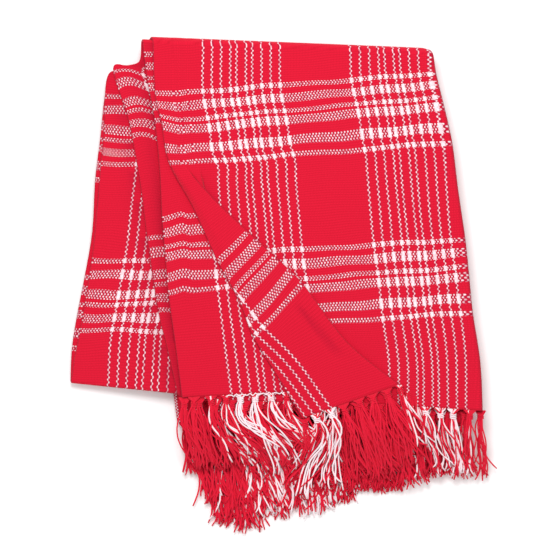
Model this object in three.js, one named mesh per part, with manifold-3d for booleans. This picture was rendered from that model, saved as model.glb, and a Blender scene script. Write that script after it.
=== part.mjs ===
// A throw blanket with knotted fringes, pleated into a strip and then folded in quarters.
// Sizes are in millimetres. X runs across the folded throw, Y along it and Z up from the floor.
import * as THREE from "three";
import Module from "manifold-3d";

const wasm = await Module();
wasm.setup();
const { Manifold, Mesh } = wasm;

// Cloth
const clothThickness = 1.2;
const plyPitch = 1.75; // from the middle of one ply to the middle of the next
const pliesInLayer = 5;
const hiddenPlyReach = 285; // from the right fold, or the under fold, to its free selvedge
const selvedgeClearance = 12; // from the last selvedge to the right fold, at least
const foldBulge = 0.85; // how far a lengthwise fold stands out, over its half height

// The whole stack is a little lower at its sides and ends.
const sideFall = 0.1;
const endFall = 0.06;
const halfWidth = 230;
const halfLength = 265;

// The lower left corner hangs past the layer below it and comes down to the floor.
const sagTop = [-185, 220];
const sagBottom = [-91, -171];
const sagReach = 170;

// Where the creases run, layer by layer from the front one, as seen from above.
// Columns: right fold, tuck's hidden crease, tuck's rolled edge, left fold, inner fold, under fold.
// Rows follow the length of the cloth, from the front fringe to the back fringe. A row at a
// lengthwise fold gives X alone, and its Y lies on that fold's own line.
const frontLayer = [
  [[215.5, -137], [76.5, -127.5], [126.5, -109.5], [38, -136], [149, -109.5], [-104.5, -123]],
  [[213, -85], [40, -90], [71, -64.5], [6, -96.5], [133, -50.5], [-111.5, -68]],
  [[205, -32.5], [2.5, -45.5], [24, -2.5], [-25, -56], [119, 8], [-119.5, -10.5]],
  [[201, 8], [-24, -8], [-6, 27], [-44.5, -17.5], [111.5, 47.5], [-122.5, 28.5]],
  [[197, 46], [-47.5, 31.5], [-35.5, 54], [-66.5, 22], [104, 86], [-126, 68.5]],
  [[189.5, 97.5], [-76.5, 82], [-73, 90], [-92.5, 79.5], [95.5, 139], [-128.5, 120]],
  [[183, 149], [-87, 128.5], [-102.5, 127.5], [-118.5, 127.5], [87, 186], [-134, 173.5]],
  [[174, 189.5], [-92.5, 166], [-107, 165], [-126.5, 169], [81.5, 216], [-140.5, 209.5]],
  [[166, 222.5], [-95.5, 203.5], [-111.5, 202], [-133.5, 202], [78.5, 239.5], [-144.5, 237.5]],
  [[160.5], [-96.5], [-112.5], [-135.5], [76.5], [-146.5]],
];

const secondLayer = [
  [[159.5], [-101], [-118], [-140.5], [63.5], [-148.5]],
  [[159.5, 233], [-107, 235.5], [-128.5, 234], [-150, 234], [53, 233], [-150.5, 236.5]],
  [[159.5, 221.5], [-123, 220.5], [-148, 222.5], [-169, 226.5], [40, 222.5], [-164, 231.5]],
  [[160.5, 198], [-130.5, 199], [-157.5, 200], [-185, 219.5], [21, 200], [-178.5, 228.5]],
  [[165, 157.5], [-134, 157.5], [-160.5, 157.5], [-188.5, 165], [5, 157.5], [-163.5, 178.5]],
  [[168, 118], [-137, 120], [-164, 120], [-191.5, 127.5], [-6, 118], [-157.5, 151.5]],
  [[174.5, 66.5], [-141.5, 69], [-169, 70], [-196, 76.5], [-15.5, 66.5], [-149, 103]],
  [[181, 15.5], [-146.5, 17.5], [-175.5, 18.5], [-201.5, 24], [-24, 17.5], [-142, 47]],
  [[187.5, -50.5], [-156.5, -56], [-186, -54], [-214, -51.5], [-32.5, -50.5], [-130, -31.5]],
  [[191.5, -89], [-161.5, -87], [-191.5, -84], [-220, -80.5], [-34.5, -87], [-121, -68]],
  [[194.5], [-165], [-194.5], [-223.5], [-34.5], [-110]],
];

const thirdLayer = [
  [[194.5], [-165], [-194.5], [-224.5], [-34.5], [-103]],
  [[190.5, -74], [-162.5, -74], [-193.5, -73], [-223, -71], [-32.5, -74], [-107, -72]],
  [[186, -38], [-158.5, -38], [-188.5, -37], [-217.5, -35.5], [-30.5, -38], [-113.5, -35.5]],
  [[181, 2.5], [-151, 1.5], [-181, 2.5], [-209.5, 5], [-26, 2.5], [-121, 2.5]],
  [[175.5, 54], [-142.5, 51.5], [-171.5, 53], [-201, 55], [-19.5, 54], [-128.5, 54]],
  [[170, 107], [-139, 107], [-168, 107], [-198, 109.5], [-13.5, 107], [-136, 107]],
  [[166, 152], [-135, 152], [-164, 152], [-192.5, 154], [-7, 152], [-142.5, 152]],
  [[161.5, 186], [-132, 186], [-159.5, 187.5], [-189, 189.5], [-0.5, 186], [-148, 186]],
  [[159.5], [-128.5], [-156.5], [-185], [3.5], [-150]],
];

const fourthLayer = [
  [[159.5], [-128.5], [-156.5], [-183.5], [3.5], [-150]],
  [[159.5, 162.5], [-120, 162.5], [-148, 162.5], [-175.5, 162.5], [21, 162.5], [-144.5, 162.5]],
  [[160.5, 109.5], [-107, 109.5], [-135, 109.5], [-162.5, 109.5], [40, 109.5], [-133, 109.5]],
  [[161.5, 45.5], [-92.5, 45.5], [-120, 45.5], [-146.5, 45.5], [61.5, 45.5], [-120, 45.5]],
  [[164, -18.5], [-76.5, -18.5], [-103, -18.5], [-129.5, -18.5], [81.5, -18.5], [-104, -18.5]],
  [[167, -72], [-62.5, -74], [-88, -74], [-116, -74], [97.5, -72], [-90, -74]],
  [[170, -114.5], [-50.5, -122], [-76.5, -123], [-103, -124.5], [110.5, -117], [-78.5, -123]],
  [[174.5, -151], [-40, -168], [-64.5, -169], [-91, -171.5], [121, -155], [-66.5, -169]],
];

// Position along the cloth
// Each row of the joined table is one place along the cloth, with its crease points and its
// turn: 0 lies face up, 1 lies face down, and between them the cloth goes round a fold.
// The two free selvedges follow the six creases, each on the line of its own ply.
const creaseNames = ["right", "hidden", "ridge", "left", "inner", "under", "first", "last"];

// Lengthwise folds, in their order along the cloth: Y at X 0 and slope of each one's line
const foldLines = [
  { y: 249.9, slope: -0.04 },
  { y: -127.5, slope: -0.1 },
  { y: 216.5, slope: 0.01 },
];
const foldY = (line, x) => line.y + line.slope * x;

function rowAt(table, t) {
  const row = {};
  const x = t * (table.length - 1);
  const i = Math.min(Math.floor(x), table.length - 2);
  const f = x - i;
  creaseNames.forEach((name, c) => {
    const at = (k) => table[Math.max(0, Math.min(table.length - 1, k))][c];
    row[name] = [0, 1].map((axis) => {
      const [p0, p1, p2, p3] = [i - 1, i, i + 1, i + 2].map((k) => at(k)[axis]);
      const a = 2 * p1;
      const b = p2 - p0;
      const d = 2 * p0 - 5 * p1 + 4 * p2 - p3;
      const e = 3 * p1 - p0 - 3 * p2 + p3;
      return 0.5 * (a + b * f + d * f * f + e * f * f * f);
    });
  });
  return row;
}

function mixRows(a, b, f) {
  const row = {};
  for (const name of creaseNames) {
    row[name] = a[name].map((v, axis) => v + (b[name][axis] - v) * f);
  }
  return row;
}

const smooth = (x) => {
  const t = Math.min(1, Math.max(0, x));
  return t * t * (3 - 2 * t);
};

// One station for each cross-section, in order along the cloth
const layers = [
  { table: frontLayer, steps: 10 },
  { table: secondLayer, steps: 11 },
  { table: thirdLayer, steps: 8 },
  { table: fourthLayer, steps: 5 },
];
const foldSteps = 5;
const stations = [];
for (const { table } of layers) {
  for (const row of table) {
    const [right, , , , , under] = row;
    const lastReach = Math.min(hiddenPlyReach, right[0] - selvedgeClearance - under[0]);
    row.push([right[0] - hiddenPlyReach, right[1]]);
    row.push([under[0] + lastReach, right[1]]);
  }
}
foldLines.forEach((line, k) => {
  const ends = [layers[k].table.at(-1), layers[k + 1].table[0]];
  ends.flat().forEach((point) => (point[1] = foldY(line, point[0])));
});
layers.forEach(({ table, steps }, layer) => {
  for (let s = 0; s <= steps; s++) {
    stations.push({ row: rowAt(table, s / steps), layer, turn: 0 });
  }
  if (layer === layers.length - 1) return;
  const from = rowAt(table, 1);
  const to = rowAt(layers[layer + 1].table, 0);
  for (let s = 1; s < foldSteps; s++) {
    const turn = s / foldSteps;
    const f = (1 - Math.cos(Math.PI * turn)) / 2;
    stations.push({ row: mixRows(from, to, f), layer, turn });
  }
});

// Section across the cloth
// A ply's rank is its height in its layer, counted in plies from the hidden selvedge's ply.
const tuckStart = 17; // the tuck's edges are this far past each other before it rises
const tuckFull = 8;
const ridgeHold = 0.7; // share of the flap that lies on the full tuck

function section(row) {
  const points = [];
  const depth = row.ridge[0] - row.hidden[0];
  const lift = smooth((depth + tuckStart) / (tuckStart - tuckFull));
  const firstEdge = row.first;
  const lastEdge = row.last;

  // A crease from one rank to another, which bulges to the given side.
  const crease = (at, side, from, to, steps, curl = 1, spread = 0) => {
    const half = ((to - from) * plyPitch) / 2;
    const radius = Math.abs(half) * curl;
    for (let k = 0; k <= steps; k++) {
      const angle = (Math.PI * k) / steps;
      points.push([
        at[0] - side * radius * (1 - Math.sin(angle)) - (k - steps / 2) * spread,
        at[1],
        from + ((to - from) * (1 - Math.cos(angle))) / 2,
      ]);
    }
  };
  const inset = (at, side, from, to) => [
    at[0] - (side * Math.abs(to - from) * plyPitch) / 2,
    at[1],
  ];
  // A flat ply between two creases; their own ends close it.
  const ply = (a, b, rankAt, shares) => {
    for (const f of shares) {
      points.push([a[0] + (b[0] - a[0]) * f, a[1] + (b[1] - a[1]) * f, rankAt(f)]);
    }
  };
  const flat = (rank) => () => rank;
  const curl = lift ** 4;
  const spread = 1.5 * (1 - lift);
  const top = 4 + 2 * lift;
  const leftRank = 4 + 0.2 * lift;
  const flapRank = (f) => top - (top - leftRank) * smooth((f - ridgeHold) / (1 - ridgeHold));

  points.push([firstEdge[0], firstEdge[1], 0]);
  ply(firstEdge, inset(row.right, 1, 0, 4), flat(0), [0.35, 0.75]);
  crease(row.right, 1, 0, 4, 4);
  ply(inset(row.right, 1, 0, 4), row.hidden, flat(4), [0.15, 0.4, 0.65, 0.84]);
  crease(row.hidden, -1, 4, 4 + lift, 3, curl, spread);
  crease(row.ridge, 1, 4 + lift, top, 3, curl, spread);
  ply(row.ridge, row.left, flapRank, [0.3, 0.6, 0.8, 0.9]);
  crease(row.left, -1, leftRank, 3, 3);
  ply(row.left, row.inner, flat(3), [0.12, 0.26, 0.42, 0.7]);
  crease(row.inner, 1, 3, 2, 3);
  ply(row.inner, row.under, flat(2), [0.3, 0.58, 0.74, 0.88]);
  crease(row.under, -1, 2, 1, 3);
  ply(row.under, lastEdge, flat(1), [0.12, 0.26, 0.5]);
  points.push([lastEdge[0], lastEdge[1], 1]);
  return points;
}

// Heights
function sagAt(x, y) {
  const along = (y - sagTop[1]) / (sagBottom[1] - sagTop[1]);
  const lineX = sagTop[0] + (sagBottom[0] - sagTop[0]) * along;
  return pliesInLayer * plyPitch * smooth((lineX - x) / sagReach);
}

function place(x, y, height) {
  const fall = 1 - sideFall * (x / halfWidth) ** 2 - endFall * (y / halfLength) ** 2;
  const overLowest = smooth(height / plyPitch - pliesInLayer + 1);
  const sag = sagAt(x, y) * overLowest;
  const z = (height - sag) * fall;
  return new THREE.Vector3(x, y, z);
}

// Middle surface of the cloth at a station
function middleRow({ row, layer, turn }) {
  const points = section(row);
  const base = (layers.length - 1 - layer) * pliesInLayer;
  const up = layer % 2 === 0;
  const topRank = pliesInLayer - 1;
  return points.map(([x, y, rank]) => {
    if (turn === 0) {
      return place(x, y, (base + (up ? rank : topRank - rank)) * plyPitch);
    }
    // Round a fold: the pivot lies half a pitch under this layer.
    const arm = ((up ? rank : topRank - rank) + 0.5) * plyPitch;
    const angle = Math.PI * turn;
    const out = arm * Math.sin(angle) * foldBulge * (up ? 1 : -1);
    return place(x, y + out, (base - 0.5) * plyPitch + arm * Math.cos(angle));
  });
}

// A closed sheet about a grid of middle points
function sheetGeometry(rows) {
  const across = rows[0].length;
  const along = rows.length;
  const step = (a, b) => b.clone().sub(a).normalize();
  const tangent = (at, i, n) => {
    const sum = new THREE.Vector3();
    if (i > 0) sum.add(step(at(i - 1), at(i)));
    if (i < n - 1) sum.add(step(at(i), at(i + 1)));
    return sum;
  };
  const positions = [];
  const indices = [];
  for (const side of [1, -1]) {
    for (let j = 0; j < along; j++) {
      for (let i = 0; i < across; i++) {
        const u = tangent((k) => rows[j][k], i, across);
        const v = tangent((k) => rows[k][i], j, along);
        const n = u.cross(v).normalize();
        const p = rows[j][i].clone().addScaledVector(n, (side * clothThickness) / 2);
        positions.push(p.x, p.y, p.z);
      }
    }
  }
  const id = (side, j, i) => (side * along + j) * across + i;
  const quad = (a, b, c, d) => indices.push(a, b, c, a, c, d);
  for (let j = 0; j < along - 1; j++) {
    for (let i = 0; i < across - 1; i++) {
      quad(id(0, j, i), id(0, j, i + 1), id(0, j + 1, i + 1), id(0, j + 1, i));
      quad(id(1, j, i), id(1, j + 1, i), id(1, j + 1, i + 1), id(1, j, i + 1));
    }
    const end = across - 1;
    quad(id(0, j, 0), id(0, j + 1, 0), id(1, j + 1, 0), id(1, j, 0));
    quad(id(0, j, end), id(1, j, end), id(1, j + 1, end), id(0, j + 1, end));
  }
  for (let i = 0; i < across - 1; i++) {
    const end = along - 1;
    quad(id(0, 0, i), id(1, 0, i), id(1, 0, i + 1), id(0, 0, i + 1));
    quad(id(0, end, i), id(0, end, i + 1), id(1, end, i + 1), id(1, end, i));
  }
  const geometry = new THREE.BufferGeometry();
  geometry.setAttribute("position", new THREE.Float32BufferAttribute(positions, 3));
  geometry.setIndex(indices);
  return geometry;
}

// Fringes
const fringeGap = 0.3;
const stripWidth = 4;
const strandLength = 83;
const tasselSpacing = 25;
const tasselSpread = 9; // between the two strands of a tassel at their ends
const strandPitch = 1.35; // between strands that rest on each other
const strandThickness = clothThickness;
const strandWidth = 1.9;
const frontDrop = { start: -150, end: -212 }; // where the front strands come down
const backDrop = { start: -174, end: -215 };

// A three-sided strand along a path of points, flat underneath and thinner at its root
function strandSolid(path) {
  const positions = [];
  const indices = [];
  const up = new THREE.Vector3(0, 0, 1);
  path.forEach((p, k) => {
    const before = path[Math.max(0, k - 1)];
    const after = path[Math.min(path.length - 1, k + 1)];
    const along = after.clone().sub(before).normalize();
    const side = along.clone().cross(up).normalize();
    const wide = (strandWidth / 2) * (k === path.length - 1 ? 0.7 : 1);
    const high = (strandThickness / 2) * (k === 0 ? 0.7 : 1);
    for (const [a, b] of [[-1, -1], [1, -1], [0, 1]]) {
      const q = p.clone().addScaledVector(side, a * wide).addScaledVector(up, b * high);
      positions.push(q.x, q.y, q.z);
    }
  });
  const last = (path.length - 1) * 3;
  for (let k = 0; k < path.length - 1; k++) {
    for (let a = 0; a < 3; a++) {
      const b = (a + 1) % 3;
      const o = k * 3;
      indices.push(o + a, o + 3 + b, o + b, o + a, o + 3 + a, o + 3 + b);
    }
  }
  indices.push(0, 1, 2, last, last + 2, last + 1);
  return solidFrom(new Float32Array(positions), new Uint32Array(indices));
}

function solidFrom(vertProperties, triVerts) {
  const solid = new Manifold(new Mesh({ numProp: 3, vertProperties, triVerts }));
  if (solid.volume() > 0) return solid;
  const turned = triVerts.slice();
  for (let k = 0; k < turned.length; k += 3) {
    [turned[k + 1], turned[k + 2]] = [turned[k + 2], turned[k + 1]];
  }
  return new Manifold(new Mesh({ numProp: 3, vertProperties, triVerts: turned }));
}

function geometryFrom(solid) {
  const mesh = solid.getMesh();
  const geometry = new THREE.BufferGeometry();
  geometry.setAttribute("position", new THREE.BufferAttribute(mesh.vertProperties, 3));
  geometry.setIndex(new THREE.BufferAttribute(mesh.triVerts, 1));
  return geometry;
}

// A strip just past a hem, with its strands. levelOf gives a rank's place in the heap.
function fringe(hem, inner, ranks, drop, levelOf) {
  const out = hem.map((p, i) => {
    const d = p.clone().sub(inner[i]);
    d.z = 0;
    return d.normalize();
  });
  const rowAtOffset = (offset) => hem.map((p, i) => p.clone().addScaledVector(out[i], offset));
  const rows = [rowAtOffset(fringeGap + stripWidth), rowAtOffset(fringeGap)];
  const strip = sheetGeometry(rows);
  const parts = [solidFrom(strip.attributes.position.array, new Uint32Array(strip.index.array))];

  let walked = -tasselSpacing / 2;
  for (let i = 0; i < hem.length - 1; i++) {
    const length = hem[i].distanceTo(hem[i + 1]);
    const flat = length > 8;
    walked += length;
    while (walked > 0) {
      const f = 1 - walked / length;
      walked -= tasselSpacing;
      if (!flat) continue;
      const root = rows[0][i].clone().lerp(rows[0][i + 1], f);
      const away = out[i].clone().lerp(out[i + 1], f);
      away.set(away.x * 0.35, away.y * 0.35 - 0.65, 0).normalize();
      const sideways = new THREE.Vector3(-away.y, away.x, 0);
      const rank = ranks[i] + (ranks[i + 1] - ranks[i]) * f;
      const endZ = levelOf(rank) * strandPitch;
      for (const side of [-1, 1]) {
        const path = [-1.5, 22, 52, strandLength].map((s) => {
          const p = root.clone().addScaledVector(away, s);
          p.addScaledVector(sideways, (side * (1.6 + (tasselSpread * Math.max(0, s)) / strandLength)) / 2);
          if (s < 0) return p;
          const down = smooth((p.y - drop.start) / (drop.end - drop.start));
          p.z = root.z + (endZ - root.z) * down;
          return p;
        });
        parts.push(strandSolid(path));
      }
    }
  }
  return geometryFrom(Manifold.union(parts).simplify(0.01));
}

const rows = stations.map(middleRow);
const ranksOf = (station) => section(station.row).map((point) => point[2]);
const lastStation = stations.length - 1;

const pieces = {
  throw_cloth: sheetGeometry(rows),
  front_fringe: fringe(rows[0], rows[1], ranksOf(stations[0]), frontDrop, (rank) => pliesInLayer + 0.5 + rank),
  back_fringe: fringe(
    rows[lastStation],
    rows[lastStation - 1],
    ranksOf(stations[lastStation]),
    backDrop,
    (rank) => pliesInLayer - 1 - rank,
  ),
};

// The part stands with the middle of its outline at the origin, on the floor.
const throwBlanket = new THREE.Group();
const box = new THREE.Box3();
for (const [name, geometry] of Object.entries(pieces)) {
  const mesh = new THREE.Mesh(geometry, new THREE.MeshStandardMaterial({ color: 0xd8203a }));
  mesh.name = name;
  geometry.computeBoundingBox();
  box.union(geometry.boundingBox);
  throwBlanket.add(mesh);
}
const middle = box.getCenter(new THREE.Vector3());
for (const mesh of throwBlanket.children) {
  mesh.geometry.translate(-middle.x, -middle.y, -box.min.z);
}

export default throwBlanket;
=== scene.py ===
import math
import random

import bpy
import numpy as np
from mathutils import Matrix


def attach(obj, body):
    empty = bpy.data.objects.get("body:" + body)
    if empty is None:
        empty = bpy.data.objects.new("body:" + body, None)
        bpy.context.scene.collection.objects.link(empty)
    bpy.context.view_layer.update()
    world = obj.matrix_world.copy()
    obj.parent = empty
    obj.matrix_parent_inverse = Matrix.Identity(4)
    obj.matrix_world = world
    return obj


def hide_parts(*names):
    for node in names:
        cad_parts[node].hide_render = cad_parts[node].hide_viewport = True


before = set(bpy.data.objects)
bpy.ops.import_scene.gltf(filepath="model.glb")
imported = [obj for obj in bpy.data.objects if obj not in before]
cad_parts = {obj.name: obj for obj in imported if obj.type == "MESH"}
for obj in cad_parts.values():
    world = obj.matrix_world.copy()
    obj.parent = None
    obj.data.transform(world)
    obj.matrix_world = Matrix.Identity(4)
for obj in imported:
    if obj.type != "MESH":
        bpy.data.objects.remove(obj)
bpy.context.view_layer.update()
print("frame loaded")

# Where the creases run, in millimetres, layer by layer from the front one, as in the solids. Each
# row has six points: right fold, the tuck's hidden crease, its rolled edge, left fold, inner fold
# and under fold. A point at a lengthwise fold has no Y of its own. Below them stand the distance
# along the cloth at the right, left and under folds, and the distance across it at the same
# three, in units of the photograph's scale.
frontRows = [
    ((215.5, -137), (76.5, -127.5), (126.5, -109.5), (24, -145), (149, -109.5), (-104.5, -123),
     (0, 0, 0), (243.2, -102.6, -503)),
    ((213, -85), (40, -90), (71, -64.5), (-4, -98), (133, -50.5), (-111.5, -68),
     (50, 50, 50), (241, -97, -503)),
    ((205, -32.5), (2.5, -45.5), (24, -2.5), (-29, -57), (119, 8), (-119.5, -10.5),
     (98.5, 98.5, 98.5), (239.2, -85.8, -503)),
    ((201, 8), (-24, -8), (-6, 27), (-44.5, -17.5), (111.5, 47.5), (-122.5, 28.5),
     (135, 135, 135), (240, -74, -503)),
    ((197, 46), (-47.5, 31.5), (-35.5, 54), (-66.5, 22), (104, 86), (-126, 68.5),
     (172, 172, 172), (240.8, -60, -503)),
    ((189.5, 97.5), (-76.5, 82), (-73, 90), (-92.5, 79.5), (95.5, 139), (-128.5, 120),
     (218, 218, 218), (238.5, -52, -503)),
    ((183, 149), (-87, 128.5), (-102.5, 127.5), (-118.5, 127.5), (87, 186), (-134, 173.5),
     (264, 264, 264), (236.5, -46, -503)),
    ((174, 189.5), (-92.5, 166), (-107, 165), (-126.5, 169), (81.5, 216), (-140.5, 209.5),
     (300, 300, 300), (235, -47, -503)),
    ((166, 222.5), (-95.5, 203.5), (-111.5, 202), (-133.5, 202), (78.5, 239.5), (-144.5, 237.5),
     (337, 337, 330), (234, -48, -503)),
    ((163.0, None), (-96.5, None), (-112.5, None), (-135.5, None), (76.5, None), (-146.5, None),
     (357, 387, 347), (233, -50, -503)),
]
secondRows = [
    ((159.5, None), (-101, None), (-118, None), (-140.5, None), (63.5, None), (-148.5, None),
     (379, 395, 362), (234, -48, -500)),
    ((159.5, 233), (-107, 235.5), (-128.5, 234), (-150, 234), (53, 233), (-150.5, 236.5),
     (386, 399, 375), (234, -48, -500)),
    ((159.5, 221.5), (-123, 220.5), (-148, 222.5), (-169, 226.5), (40, 222.5), (-164, 231.5),
     (396, 404, 399), (234, -48, -500)),
    ((160.5, 198), (-130.5, 199), (-157.5, 200), (-185, 219.5), (21, 200), (-178.5, 228.5),
     (414, 411, 424), (235, -42, -497)),
    ((165, 157.5), (-134, 157.5), (-160.5, 157.5), (-188.5, 165), (5, 157.5), (-163.5, 178.5),
     (463, 463, 478), (236, -39, -495)),
    ((168, 118), (-137, 120), (-164, 120), (-191.5, 127.5), (-6, 118), (-157.5, 151.5),
     (502, 502, 505), (236, -37.5, -495)),
    ((174.5, 66.5), (-141.5, 69), (-169, 70), (-196, 76.5), (-15.5, 66.5), (-149, 103),
     (549, 549, 547), (236, -39, -495)),
    ((181, 15.5), (-146.5, 17.5), (-175.5, 18.5), (-201.5, 24), (-24, 17.5), (-142, 47),
     (595, 595, 595), (236, -40, -495)),
    ((187.5, -50.5), (-156.5, -56), (-186, -54), (-214, -51.5), (-32.5, -50.5), (-130, -31.5),
     (668, 668, 668), (236, -41, -495)),
    ((191.5, -89), (-161.5, -87), (-191.5, -84), (-220, -80.5), (-34.5, -87), (-121, -68),
     (695, 695, 702), (236, -38, -495)),
    ((194.5, None), (-165, None), (-194.5, None), (-223.5, None), (-34.5, None), (-110, None),
     (719, 717, 747), (236, -36, -495)),
]
thirdRows = [
    ((194.5, None), (-165, None), (-194.5, None), (-224.5, None), (-34.5, None), (-103, None),
     (726, 726, 752), (236, -36, -495)),
    ((190.5, -74), (-162.5, -74), (-193.5, -73), (-223, -71), (-32.5, -74), (-107, -72),
     (760, 760, 764), (236, -36, -495)),
    ((186, -38), (-158.5, -38), (-188.5, -37), (-217.5, -35.5), (-30.5, -38), (-113.5, -35.5),
     (794, 794, 796), (236, -36, -495)),
    ((181, 2.5), (-151, 1.5), (-181, 2.5), (-209.5, 5), (-26, 2.5), (-121, 2.5),
     (833, 833, 833), (236, -36, -495)),
    ((175.5, 54), (-142.5, 51.5), (-171.5, 53), (-201, 55), (-19.5, 54), (-128.5, 54),
     (878, 878, 878), (236, -36, -495)),
    ((170, 107), (-139, 107), (-168, 107), (-198, 109.5), (-13.5, 107), (-136, 107),
     (925.5, 925.5, 925.5), (236, -36, -495)),
    ((166, 152), (-135, 152), (-164, 152), (-192.5, 154), (-7, 152), (-142.5, 152),
     (972, 972, 972), (236, -36, -495)),
    ((161.5, 186), (-132, 186), (-159.5, 187.5), (-189, 189.5), (-0.5, 186), (-148, 186),
     (1006, 1006, 1006), (236, -36, -495)),
    ((159.5, None), (-128.5, None), (-156.5, None), (-185, None), (3.5, None), (-150, None),
     (1028, 1028, 1028), (236, -36, -495)),
]
fourthRows = [
    ((159.5, None), (-128.5, None), (-156.5, None), (-183.5, None), (3.5, None), (-150, None),
     (1050, 1050, 1050), (258, -36, -495)),
    ((159.5, 162.5), (-120, 162.5), (-148, 162.5), (-175.5, 162.5), (21, 162.5), (-144.5, 162.5),
     (1092, 1092, 1092), (258, -36, -495)),
    ((160.5, 109.5), (-107, 109.5), (-135, 109.5), (-162.5, 109.5), (40, 109.5), (-133, 109.5),
     (1142, 1142, 1142), (258, -36, -495)),
    ((161.5, 45.5), (-92.5, 45.5), (-120, 45.5), (-146.5, 45.5), (61.5, 45.5), (-120, 45.5),
     (1202, 1202, 1202), (258, -36, -495)),
    ((164, -18.5), (-76.5, -18.5), (-103, -18.5), (-129.5, -18.5), (81.5, -18.5), (-104, -18.5),
     (1262, 1262, 1262), (258, -36, -495)),
    ((167, -72), (-62.5, -74), (-88, -74), (-116, -74), (97.5, -72), (-90, -74),
     (1312, 1312, 1312), (258, -36, -495)),
    ((170, -114.5), (-50.5, -122), (-76.5, -123), (-103, -124.5), (110.5, -117), (-78.5, -123),
     (1357, 1357, 1357), (258, -36, -495)),
    ((174.5, -151), (-40, -168), (-64.5, -169), (-91, -171.5), (121, -155), (-66.5, -169),
     (1410, 1410, 1410), (258, -36, -495)),
]

clothSizes = {
    "unit": 1.067,  # millimetres in one unit of the distances along and across
    "thickness": 1.2,
    "plies": 5,  # in each layer
    "plyPitch": 1.75,
    "hiddenReach": 285.0,  # how far the first and last plies run under the others
    "selvedgeClearance": 12.0,
    "foldStations": 9,
    "foldBulge": 0.85,
    "foldUses": 1.2,  # cloth that a fold takes for each ply it passes, in units
    "tuckStart": 17.0,  # the tuck begins to lift where its creases overlap by this much
    "tuckFull": 8.0,
    "tuckSpread": 4.5,  # width of the tuck's creases where they still lie flat
    "ridgeHold": 0.7,  # share of the flap that stays high
    "leftLift": 0.2,
    "sideFall": 0.1,
    "endFall": 0.06,
    "halfWidth": 230.0,
    "halfLength": 265.0,
    "sagReach": 170.0,
    "centreX": -4.3,
    "centreY": 2.05,
}
layerSteps = [90, 80, 34, 26]
foldLines = [(249.9, -0.04), (-127.5, -0.1), (216.5, 0.01)]  # Y and slope of each lengthwise fold
sagTop = (-185.0, 220.0)  # the left side sinks from the line between these points
sagBottom = (-91.0, -171.0)
pitch = clothSizes["plyPitch"]
plies = clothSizes["plies"]


def smooth(x):
    t = np.clip(x, 0.0, 1.0)
    return t * t * (3.0 - 2.0 * t)


# Each row becomes points (x, y, along, across) for eight creases: the six above and the two
# free selvedges, which follow from the width that is left.
def layerPoints(rows, startLine, endLine):
    table = []
    for number, row in enumerate(rows):
        points = [list(point) for point in row[:6]]
        line = startLine if number == 0 else endLine if number == len(rows) - 1 else None
        for point in points:
            if point[1] is None:
                point[1] = line[0] + line[1] * point[0]
        right, hidden, ridge, left, inner, under = points
        alongRight, alongLeft, alongUnder = row[6]
        acrossRight, acrossLeft, acrossUnder = row[7]
        reach = min(clothSizes["hiddenReach"], right[0] - clothSizes["selvedgeClearance"] - under[0])
        first = [right[0] - clothSizes["hiddenReach"], right[1]]
        last = [under[0] + reach, right[1]]
        if line is not None:
            first[1] = line[0] + line[1] * first[0]
            last[1] = line[0] + line[1] * last[0]
        share = (left[0] - hidden[0]) / (left[0] - right[0])
        alongMiddle = alongLeft + (alongRight - alongLeft) * share
        innerShare = min(1.0, (inner[0] - left[0]) / (right[0] - left[0]))
        alongInner = alongLeft + (alongRight - alongLeft) * innerShare
        table.append([
            (*right, alongRight, acrossRight),
            (*hidden, alongMiddle, 0.0),
            (*ridge, alongMiddle, 0.0),
            (*left, alongLeft, acrossLeft),
            (*inner, alongInner, 0.0),
            (*under, alongUnder, acrossUnder),
            (*first, alongRight, 0.0),
            (*last, alongUnder, 0.0),
        ])
    return np.array(table)


# A smooth curve through the rows of a table, for t from 0 to 1.
def splineRows(table, t):
    x = t * (len(table) - 1)
    i = min(int(x), len(table) - 2)
    f = x - i
    p0, p1, p2, p3 = (table[min(max(k, 0), len(table) - 1)] for k in (i - 1, i, i + 1, i + 2))
    return 0.5 * (
        2 * p1
        + (p2 - p0) * f
        + (2 * p0 - 5 * p1 + 4 * p2 - p3) * f * f
        + (3 * p1 - p0 - 3 * p2 + p3) * f * f * f
    )


layerTables = [
    layerPoints(frontRows, None, foldLines[0]),
    layerPoints(secondRows, foldLines[0], foldLines[1]),
    layerPoints(thirdRows, foldLines[1], foldLines[2]),
    layerPoints(fourthRows, foldLines[2], None),
]
# Stations (creases' points, layer, turn) from the front hem to the back one. The turn runs from
# 0 to 1 round a lengthwise fold.
stations = []
for layer, (table, steps) in enumerate(zip(layerTables, layerSteps)):
    for step in range(steps + 1):
        stations.append((splineRows(table, step / steps), layer, 0.0))
    if layer < len(layerTables) - 1:
        start, end = table[-1], layerTables[layer + 1][0]
        for step in range(1, clothSizes["foldStations"]):
            turn = step / clothSizes["foldStations"]
            share = (1 - math.cos(math.pi * turn)) / 2
            stations.append((start + (end - start) * share, layer, turn))


# How far the tuck is open at a station: 0 where the ply lies flat, 1 where the flap lies on it.
def tuckLift(row):
    start, full = clothSizes["tuckStart"], clothSizes["tuckFull"]
    depth = row[2][0] - row[1][0]
    return float(smooth((depth + start) / (start - full)))


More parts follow.
